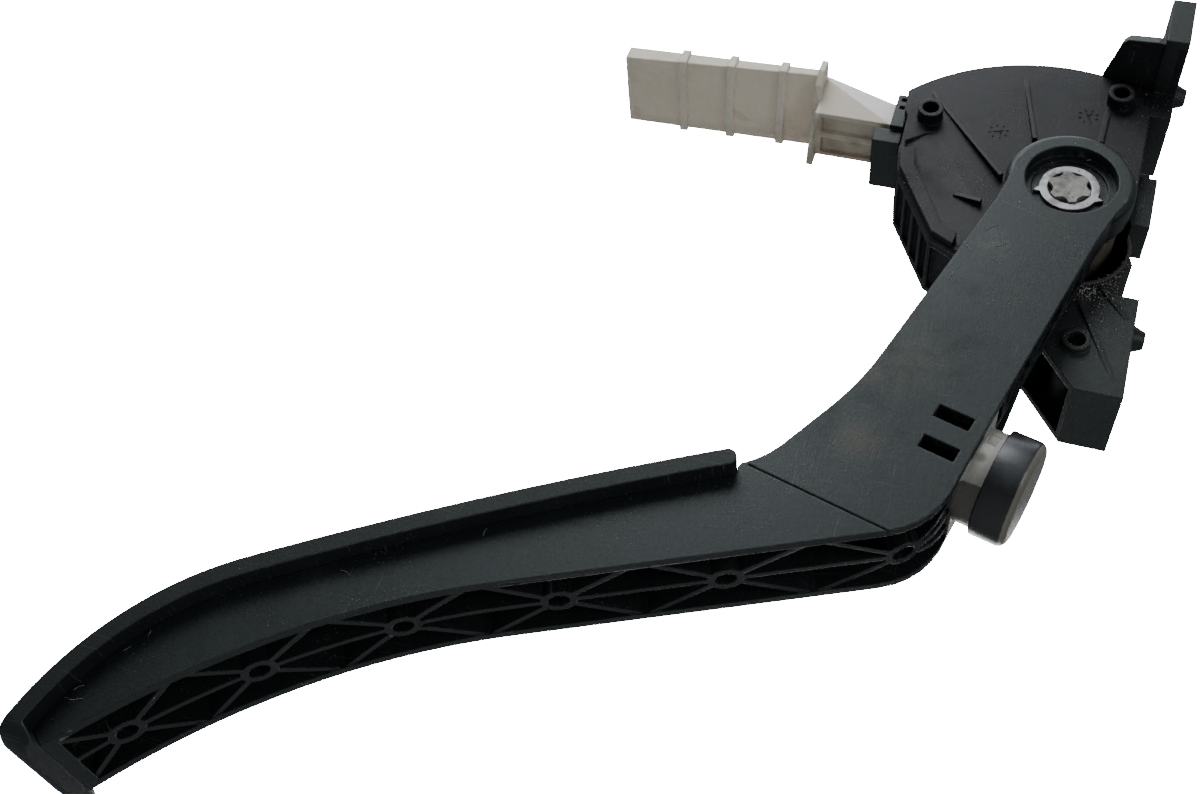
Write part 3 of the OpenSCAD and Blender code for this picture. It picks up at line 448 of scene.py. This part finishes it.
def moulded_plastic(name, base, patch, dust, rough=0.42, patch_low=0.46, patch_high=0.72, scratch=0.5, speck=0.16,
                    edge=0.5, grain=0.12, radius=0.0006, edge_colour=(0.16, 0.165, 0.17), spots=(), zones=(),
                    specular=0.5, sheen=(0.86, 0.99, 1.0)):
    """Moulded plastic: two tones, dust in patches, hair scratches, specks, rubbed edges, and spots and zones of
    dirt, wear, painted shade and painted light.
    """
    mat, tree, bsdf = new_material(name)
    feed(tree, bsdf.inputs["Specular IOR Level"], specular)
    feed(tree, bsdf.inputs["Specular Tint"], sheen)
    patches = effect(tree, "Patches", Scale=26, Low=patch_low, High=patch_high)
    fine = effect(tree, "Patches", Scale=190, Low=0.4, High=0.75)
    scratches = effect(tree, "Scratches", Scale=1, Amount=scratch)
    specks = effect(tree, "Specks", Scale=1100, Amount=speck)
    edges = effect(tree, "Edges", Radius=radius, Amount=edge)
    broken = math_node(tree, "MULTIPLY_ADD", fine.outputs["Mask"], 0.6, 0.4)
    soft = math_node(tree, "MULTIPLY", patches.outputs["Mask"], broken)
    colour = mix_colour(tree, soft, base, patch)
    for mark, tint in ((scratches, dust), (specks, dust), (edges, edge_colour)):
        colour = mix_colour(tree, mark.outputs["Mask"], colour, tint)
    colour = lay_zones(tree, lay_spots(tree, colour, spots), zones)
    tree.links.new(colour, bsdf.inputs["Base Color"])
    dull = math_node(tree, "MULTIPLY_ADD", soft, 0.2, rough)
    dull = math_node(tree, "MULTIPLY_ADD", specks.outputs["Mask"], 0.3, dull)
    tree.links.new(dull, bsdf.inputs["Roughness"])
    add_relief(tree, bsdf, edges, 1700, 0.5, grain)
    return mat


def plain_metal(name, base, tarnish, rough=0.32, grain=0.1, metallic=1.0, scale=1500):
    """Metal: two tones of tarnish, fine scratches and a light grain."""
    mat, tree, bsdf = new_material(name)
    feed(tree, bsdf.inputs["Metallic"], metallic)
    patches = effect(tree, "Patches", Scale=240, Low=0.42, High=0.68)
    scratches = effect(tree, "Scratches", Scale=2, Amount=0.5)
    edges = effect(tree, "Edges", Radius=METAL_EDGE, Amount=0.5)
    colour = mix_colour(tree, patches.outputs["Mask"], base, tarnish)
    colour = mix_colour(tree, scratches.outputs["Mask"], colour, tuple(0.8 * c for c in base))
    tree.links.new(colour, bsdf.inputs["Base Color"])
    tree.links.new(math_node(tree, "MULTIPLY_ADD", patches.outputs["Mask"], 0.22, rough), bsdf.inputs["Roughness"])
    add_relief(tree, bsdf, edges, scale, 0.3, grain)
    return mat


def cream_plastic():
    """Yellowed cream plastic that lets a little light in."""
    mat = moulded_plastic(
        "cream_plastic", (0.79, 0.74, 0.625), (0.65, 0.58, 0.45), (0.32, 0.26, 0.18), rough=0.36, patch_low=0.45,
        patch_high=0.8, scratch=0.2, speck=0.12, edge=0.4, edge_colour=(0.86, 0.84, 0.78), spots=CREAM_SPOTS,
        zones=CREAM_ZONES, sheen=WHITE)
    bsdf = mat.node_tree.nodes["Principled BSDF"]
    bsdf.inputs["Subsurface Weight"].default_value = 0.25
    bsdf.inputs["Subsurface Radius"].default_value = (0.004, 0.003, 0.002)
    bsdf.inputs["Subsurface Scale"].default_value = 0.6
    return mat


def outer_finishes():
    """Finishes of the pieces that the photograph shows."""
    return {
        "cream": cream_plastic(),
        "lever": moulded_plastic(
            "lever_plastic", (0.0105, 0.0134, 0.0142), (0.0170, 0.0202, 0.0208), (0.15, 0.148, 0.14),
            rough=0.41, scratch=0.26, speck=0.15, edge=0.2, spots=LEVER_SPOTS, specular=0.42),
        "pad": moulded_plastic(
            "pad_plastic", (0.0130, 0.0150, 0.0160), (0.0235, 0.0260, 0.0272), (0.17, 0.17, 0.165),
            rough=0.5, scratch=0.5, speck=0.14, edge=0.4, specular=0.3),
        "housing": moulded_plastic(
            "housing_plastic", (0.0120, 0.0128, 0.0138), (0.021, 0.0212, 0.022), (0.15, 0.14, 0.13),
            rough=0.44, scratch=0.25, speck=0.18, edge=0.2, specular=0.4, spots=HOUSING_DIRT_AND_PAINTED_LIGHT),
        "cover": moulded_plastic(
            "cover_plastic", (0.0056, 0.0064, 0.0078), (0.0100, 0.0108, 0.0126), (0.17, 0.165, 0.16),
            rough=0.5, scratch=0.22, speck=0.16, edge=0.2, specular=0.34, sheen=(0.92, 0.96, 1.0),
            zones=COVER_PAINTED_SHEEN),
        "clip": moulded_plastic(
            "clip_plastic", (0.44, 0.44, 0.40), (0.3, 0.29, 0.25), (0.12, 0.11, 0.09), rough=0.36,
            scratch=0.3, speck=0.14, edge=0.3, edge_colour=(0.55, 0.55, 0.5), spots=CLIP_SPOTS, zones=CLIP_ZONES),
        "rubber": moulded_plastic(
            "cup_rubber", (0.012, 0.013, 0.0145), (0.022, 0.0225, 0.024), (0.18, 0.16, 0.13), rough=0.3,
            scratch=0.3, speck=0.2, edge=0.5, edge_colour=(0.2, 0.18, 0.15), spots=CUP_DIRT_AND_PAINTED_SHEEN, zones=CUP_PAINTED_SHADE_AND_WEAR,
            sheen=(0.9, 0.95, 1.0)),
        "star": plain_metal(
            "cast_shaft", (0.36, 0.355, 0.34), (0.24, 0.235, 0.22), rough=0.58, grain=0.8, metallic=0.6, scale=2600),
        "zinc": plain_metal("zinc_plate", (0.34, 0.35, 0.36), (0.22, 0.225, 0.23), rough=0.4),
    }


def inner_finishes():
    """Finishes of the pieces inside the housing."""
    return {
        "bearing": moulded_plastic(
            "bearing_plastic", (0.5, 0.48, 0.42), (0.36, 0.33, 0.27), (0.2, 0.18, 0.15), rough=0.4, speck=0.1),
        "drum": moulded_plastic(
            "drum_plastic", (0.085, 0.073, 0.056), (0.17, 0.142, 0.105), (0.34, 0.31, 0.26), rough=0.75,
            patch_low=0.3, patch_high=0.6, scratch=0.3, speck=0.34, edge=0.2, grain=0.36),
        "shoe": moulded_plastic(
            "shoe_lining", (0.17, 0.13, 0.09), (0.25, 0.2, 0.14), (0.4, 0.36, 0.3), rough=0.8, grain=0.4),
        "rotor": moulded_plastic(
            "rotor_plastic", (0.2, 0.09, 0.04), (0.27, 0.13, 0.07), (0.36, 0.3, 0.24), rough=0.4),
        "board": moulded_plastic(
            "board_lacquer", (0.02, 0.12, 0.04), (0.03, 0.17, 0.06), (0.3, 0.34, 0.28), rough=0.25, scratch=0.2),
        "seal": moulded_plastic(
            "seal_rubber", (0.02, 0.03, 0.02), (0.03, 0.045, 0.03), (0.1, 0.1, 0.09), rough=0.6),
        "spring": plain_metal("spring_wire", (0.42, 0.43, 0.45), (0.28, 0.28, 0.28), rough=0.3),
        "contact": plain_metal("contact_metal", (0.8, 0.62, 0.3), (0.6, 0.45, 0.2), rough=0.25),
    }


def dirt_finishes():
    """Finishes of dust, lint and grit."""
    return {
        "dusty": moulded_plastic(
            "dusty_plastic", (0.055, 0.054, 0.05), (0.10, 0.096, 0.085), (0.26, 0.25, 0.22), rough=0.6,
            patch_low=0.35, patch_high=0.65, scratch=0.3, speck=0.3, edge=0.3, grain=0.2),
        "lint": moulded_plastic(
            "lint_fibre", (0.34, 0.35, 0.36), (0.24, 0.24, 0.24), (0.5, 0.5, 0.5), rough=0.8, scratch=0, edge=0,
            radius=0.00002),
        "grit": moulded_plastic(
            "road_grit", (0.42, 0.40, 0.36), (0.2, 0.17, 0.13), (0.6, 0.58, 0.54), rough=0.8, scratch=0,
            patch_low=0.35, patch_high=0.65, edge=0, grain=0.32, radius=0.00002),
    }


# The finish of each CAD piece

FINISH = {
    "housing": "housing", "housing_cover": "cover", "case_screws": "zinc", "flange_sleeves": "zinc",
    "pedal_lever": "lever", "foot_pad": "pad", "pivot_shaft": "star", "retaining_ring": "zinc",
    "front_bush": "bearing", "rear_bush": "bearing", "spring_drum": "drum", "friction_shoe": "shoe",
    "return_spring_outer": "spring", "return_spring_inner": "spring", "idle_buffer": "rubber",
    "sensor_rotor": "rotor", "sensor_board": "board", "sensor_seal": "seal", "sensor_cover": "housing",
    "connector_pins": "contact", "kickdown_holder": "clip", "kickdown_cup": "rubber",
    "kickdown_spring": "spring", "support_arm": "cream", "sensor_screws": "zinc",
}


def dress_nodes(finishes):
    """Gives each CAD piece its finish."""
    for name, finish in FINISH.items():
        piece = NODES[name]
        piece.data.materials.clear()
        piece.data.materials.append(finishes[finish])


# Rounded edges of the CAD pieces: radius in metres and number of steps

ROUNDED = {
    "pedal_lever": (0.0014, 3), "foot_pad": (0.0009, 3), "housing": (0.0005, 2), "housing_cover": (0.0004, 2),
    "sensor_cover": (0.0008, 3), "support_arm": (0.0006, 3), "kickdown_holder": (0.0005, 2),
    "kickdown_cup": (0.0006, 2), "pivot_shaft": (0.00025, 2), "retaining_ring": (0.0002, 2),
    "case_screws": (0.0003, 2), "sensor_screws": (0.0003, 2), "spring_drum": (0.0004, 2),
}
WELD_WITHIN, FLAT_WITHIN, ROUND_FROM = 0.000001, math.radians(0.4), math.radians(38)


def round_edges():
    """Joins the flat faces of each CAD piece and rounds its sharp edges, by modifiers only."""
    for name, (width, segments) in ROUNDED.items():
        piece = NODES[name]
        weld = piece.modifiers.new("weld", "WELD")
        weld.merge_threshold = WELD_WITHIN
        join = piece.modifiers.new("join_flat_faces", "DECIMATE")
        join.decimate_type = "DISSOLVE"
        join.angle_limit = FLAT_WITHIN
        soft = piece.modifiers.new("rounded_edges", "BEVEL")
        soft.width = width
        soft.segments = segments
        soft.limit_method = "ANGLE"
        soft.angle_limit = ROUND_FROM
        soft.harden_normals = True
        shade = piece.modifiers.new("smooth_by_angle", "WEIGHTED_NORMAL")
        shade.keep_sharp = True


# New pieces

SMOOTH_BELOW = math.radians(35)


def mesh_piece(name, mesh, finish, body, smooth=False):
    """A new piece from a bmesh, with its finish, that moves with a body."""
    if smooth:
        for face in mesh.faces:
            face.smooth = True
        for edge in mesh.edges:
            edge.smooth = edge.calc_face_angle(0) < SMOOTH_BELOW
    data = bpy.data.meshes.new(name)
    mesh.to_mesh(data)
    mesh.free()
    data.materials.append(finish)
    piece = bpy.data.objects.new(name, data)
    bpy.context.scene.collection.objects.link(piece)
    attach(piece, body)
    return piece


def skin_rings(mesh, rings):
    """Joins a row of equal rings of points into a solid, with a face at each end."""
    rings = [[mesh.verts.new(point) for point in ring] for ring in rings]
    for low, high in zip(rings, rings[1:]):
        for k in range(len(low)):
            mesh.faces.new((low[k], low[(k + 1) % len(low)], high[(k + 1) % len(low)], high[k]))
    mesh.faces.new(rings[0][::-1])
    mesh.faces.new(rings[-1])


def ring_piece(name, rings, finish, body, smooth=False):
    """A new piece from one row of rings, with all its faces turned outward."""
    mesh = bmesh.new()
    skin_rings(mesh, rings)
    bmesh.ops.recalc_face_normals(mesh, faces=mesh.faces)
    return mesh_piece(name, mesh, finish, body, smooth)


def ring_points(middle, across, over, radius, sides):
    """Points of a circle in the plane of two directions."""
    return [middle + radius * (math.cos(a) * across + math.sin(a) * over)
            for a in (2 * math.pi * k / sides for k in range(sides))]


def square_to(axis):
    """Two directions square to an axis and to each other."""
    across = axis.cross(Vector((0, 1, 0))).normalized()
    return across, axis.cross(across)


def add_rod(mesh, points, radius, sides=6):
    """A rod along a row of points, slimmer and closed at both ends."""
    rings = []
    last = len(points) - 1
    for i, point in enumerate(points):
        ahead = (points[min(i + 1, last)] - points[max(i - 1, 0)]).normalized()
        across = ahead.cross(Vector((0.31, 0.9, 0.27))).normalized()
        slim = radius * (0.45 if i in (0, last) else 1)
        rings.append(ring_points(point, across, ahead.cross(across), slim, sides))
    skin_rings(mesh, rings)


def line_of(node, axis):
    """Where a CAD piece starts on its own axis, and how long it is."""
    points = [v.co for v in node.data.vertices]
    along = [p.dot(axis) for p in points]
    middle = sum(points, Vector()) / len(points)
    return middle + axis * (min(along) - middle.dot(axis)), max(along) - min(along)


# Springs and kick-down cup

KICK_AXIS, SPRING_AXIS = (0.9719, -0.2353, 0), (-0.9890, -0.1478, 0)
TURN_STEPS, WIRE_SIDES = 28, 8
CUP_LINE = (0.55, -96.21, -15)
CUP_BORE, CUP_OUTSIDE, CUP_WALL, CUP_ROUND, CUP_SIDES = 13.35, 14.5, 2, 2.4, 96
CUP_MOUTH = [(CUP_BORE, 0.25), (13.6, 0), (14.2, 0), (14.42, 0.1), (CUP_OUTSIDE, 0.35)]


def coil_spring(name, body, axis, coil_r, wire_r, turns, finish):
    """A round wire coil in place of a CAD spring."""
    start, length = line_of(NODES[name], axis)
    across, over = square_to(axis)
    steps = turns * TURN_STEPS
    rings = []
    for i in range(steps + 1):
        a = 2 * math.pi * i / TURN_STEPS
        out = math.cos(a) * across + math.sin(a) * over
        middle = start + axis * (wire_r + (length - 2 * wire_r) * i / steps) + out * coil_r
        rings.append(ring_points(middle, out, axis, wire_r, WIRE_SIDES))
    piece = ring_piece(name + "_coil", rings, finish, body, smooth=True)
    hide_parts(name)
    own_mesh(piece)


def moving_springs(finishes):
    """The two return springs between the drum's arm and their seat, and the spring of the kick-down cup."""
    long_way, kick_way = turn(*SPRING_AXIS), turn(*KICK_AXIS)
    steel = finishes["spring"]
    coil_spring("return_spring_outer", "base", long_way, 0.0062, 0.0008, 8, steel)
    coil_spring("return_spring_inner", "base", long_way, 0.0038, 0.00055, 11, steel)
    coil_spring("kickdown_spring", "lever", kick_way, 0.005, 0.0006, 5, steel)


def kickdown_cup(finishes):
    """Turned cup with a rounded end and a small radius at its mouth, hollow over the guide."""
    axis = turn(*KICK_AXIS)
    base, length = line_of(NODES["kickdown_cup"], axis)
    base = place(*CUP_LINE) + axis * (base - place(*CUP_LINE)).dot(axis)
    across, over = square_to(axis)
    high = length * 1000
    profile = [(CUP_BORE, high - CUP_WALL), *CUP_MOUTH]
    profile += [(CUP_OUTSIDE - CUP_ROUND + CUP_ROUND * math.cos(a), high - CUP_ROUND + CUP_ROUND * math.sin(a))
                for a in (math.radians(10 * k) for k in range(10))]
    rings = [ring_points(base + axis * rise / 1000, across, over, r / 1000, CUP_SIDES) for r, rise in profile]
    piece = ring_piece("kickdown_cup_turned", rings, finishes["rubber"], "plunger", smooth=True)
    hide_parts("kickdown_cup")


# Raised detail on the housing and its cover

CLOCK_Z, CLOCK_STROKE = -10.0, 0.00022
# A date clock: its middle, and how far it is turned in radians
CLOCKS = ((-23.2, 23.8, 0.3), (1.3, 35.9, 2.0))
COLLAR_MIDDLE, COLLAR_TOP, COLLAR_STEPS = (4.9, -8.5), -17.0, 30


def date_clocks(finishes):
    """The two date clocks moulded on the cover: ticks in a ring and a pointer, each a shallow rod."""
    mesh = bmesh.new()
    for x, y, lean in CLOCKS:
        strokes = [((2.1, a), (3.1, a)) for a in (lean + k * math.pi / 4 for k in range(8))]
        strokes.append(((1.5, lean), (1.5, lean + 3.1)))
        strokes += [((0.2, lean + 1.5), (1.5, lean)), ((0.2, lean), (1.4, lean - 1.1))]
        for stroke in strokes:
            start, end = [Vector((x + r * math.cos(a), y + r * math.sin(a), 0)) for r, a in stroke]
            row = (start, start.lerp(end, 0.3), start.lerp(end, 0.7), end)
            add_rod(mesh, [place(p.x, p.y, CLOCK_Z) for p in row], CLOCK_STROKE)
    mesh_piece("date_clocks", mesh, finishes["cover"], "base")


def collar_rim(finishes):
    """Dusty bead on the top of the round wall that stands round the gap beside the hub."""
    middle_x, middle_y = COLLAR_MIDDLE
    foot = COLLAR_TOP - 0.5
    rings = []
    for i in range(COLLAR_STEPS + 1):
        a = math.radians(-80 + 4.2 * i)
        top = COLLAR_TOP + 0.35 * min(1, 0.4 + 0.2 * min(i, COLLAR_STEPS - i))
        side = top - 0.15
        shape = ((14.3, foot), (14.3, side), (14.5, top), (15.2, top), (15.4, side), (15.4, foot))
        rings.append([place(middle_x + r * math.cos(a), middle_y + r * math.sin(a), z) for r, z in shape])
    ring_piece("collar_rim", rings, finishes["dusty"], "base")


# Lint and grit

# A thread of lint: its start, length and heading in degrees
THREADS = [
    (-197.3, -219.1, 5, 225), (-198.5, -216, 3, 200), (-193.9, -205.5, 2.2, 30), (-189.9, -200.2, 1.6, 80),
    (-199.8, -215.8, 1.8, 120), (-207.6, -212.7, 1.5, 45), (-151.3, -170.7, 3.2, 10), (-120, -150, 2.4, 250),
    (-43, -104, 2.2, 160), (-19.8, -24.7, 4.5, 70), (-16, -30, 4, 20), (-22, -33, 3.5, 100), (-13.7, -36, 3, 140),
    (-26, -44, 3, 60), (-60, -96, 3, 200), (-92, -128, 2.5, 330), (3, 7.5, 1.2, 40), (-9.5, -5, 1.4, 300),
]
THREAD_POINTS, THREAD_RADIUS, THREAD_LIFT = 7, 0.00006, 0.12
# Crumbs: their middle, spread along x and y, number and size in mm
HOUSING_CRUMBS = [
    (13, -20, 4, 4, 230, 0.2), (8, -25, 5, 2, 230, 0.22), (17, -14, 2, 4, 110, 0.2), (12, -6, 3, 4, 160, 0.2),
    (9, -13, 4, 3, 160, 0.22), (22, 62, 3, 8, 60, 0.16), (14, -38, 5, 7, 70, 0.15), (22, 48, 4, 8, 60, 0.14),
    (-45, -8, 3, 6, 90, 0.16), (-20, 10, 14, 14, 60, 0.07), (20, 20, 3, 10, 40, 0.1),
]
LEVER_CRUMBS = [
    (0, 2, 8, 7, 70, 0.17), (0, 0, 9, 9, 90, 0.09), (-8, -60, 10, 24, 60, 0.07), (-90, -150, 40, 12, 40, 0.06),
    (-192, -203, 5, 4, 40, 0.07), (-203, -216, 3, 4, 36, 0.07),
]
LINT_SEED, HOUSING_SEED, LEVER_SEED = 3, 5, 8
DROP_FROM, LEAST_FACING = 8, 0.2


def lint_threads(finishes):
    """Fine hairs and lint that cling to the lever's side."""
    chance = random.Random(LINT_SEED)
    mesh = bmesh.new()
    for x, y, length, lean in THREADS:
        at, heading, row = Vector((x, y, THREAD_LIFT)), math.radians(lean), []
        for _ in range(THREAD_POINTS):
            row.append(place(*at))
            heading += chance.uniform(-0.5, 0.5)
            step = Vector((math.cos(heading), math.sin(heading), chance.uniform(-0.03, 0.03)))
            at = at + step * length / (THREAD_POINTS - 1)
        add_rod(mesh, row, THREAD_RADIUS, 5)
    mesh_piece("lint", mesh, finishes["lint"], "lever")


def surface_of(*names):
    """A search tree over the surfaces of some CAD pieces."""
    points, faces = [], []
    for name in names:
        data = NODES[name].data
        start = len(points)
        points += [v.co.copy() for v in data.vertices]
        faces += [[start + i for i in polygon.vertices] for polygon in data.polygons]
    return BVHTree.FromPolygons(points, faces)


def add_crumb(mesh, at, normal, size, chance):
    """One small angular crumb that sits on a surface."""
    made = bmesh.ops.create_icosphere(mesh, subdivisions=1, radius=size)
    squash = [chance.uniform(0.6, 1.3) for _ in range(3)]
    for v in made["verts"]:
        v.co = Vector([c * k * chance.uniform(0.75, 1.2) for c, k in zip(v.co, squash)])
        v.co += at + normal * size * 0.35


def scatter_crumbs(name, surface, spots, finish, body, seed):
    """Crumbs dropped on a surface from the cover side, only where it faces that side."""
    chance = random.Random(seed)
    mesh = bmesh.new()
    down = turn(0, 0, -1)
    for x, y, spread_x, spread_y, number, size in spots:
        for _ in range(number):
            start = place(x + chance.gauss(0, spread_x), y + chance.gauss(0, spread_y), DROP_FROM)
            at, normal, _, _ = surface.ray_cast(start, down)
            if at is not None and normal.dot(down) < -LEAST_FACING:
                add_crumb(mesh, at, normal, size / 1000 * chance.uniform(0.4, 1.3) ** 1.5, chance)
    mesh_piece(name, mesh, finish, body)


def make_grit(finishes):
    """Road grit and dust crumbs where the photograph shows them."""
    fixed = surface_of("housing", "housing_cover", "spring_drum")
    scatter_crumbs("housing_grit", fixed, HOUSING_CRUMBS, finishes["grit"], "base", HOUSING_SEED)
    lever = surface_of("pedal_lever", "retaining_ring", "pivot_shaft")
    scatter_crumbs("lever_grit", lever, LEVER_CRUMBS, finishes["grit"], "lever", LEVER_SEED)


make_camera()
make_lamps()
make_room()
make_floor()
make_groups()
FINISHES = {**outer_finishes(), **inner_finishes(), **dirt_finishes()}
dress_nodes(FINISHES)
round_edges()
date_clocks(FINISHES)
collar_rim(FINISHES)
moving_springs(FINISHES)
kickdown_cup(FINISHES)
lint_threads(FINISHES)
make_grit(FINISHES)
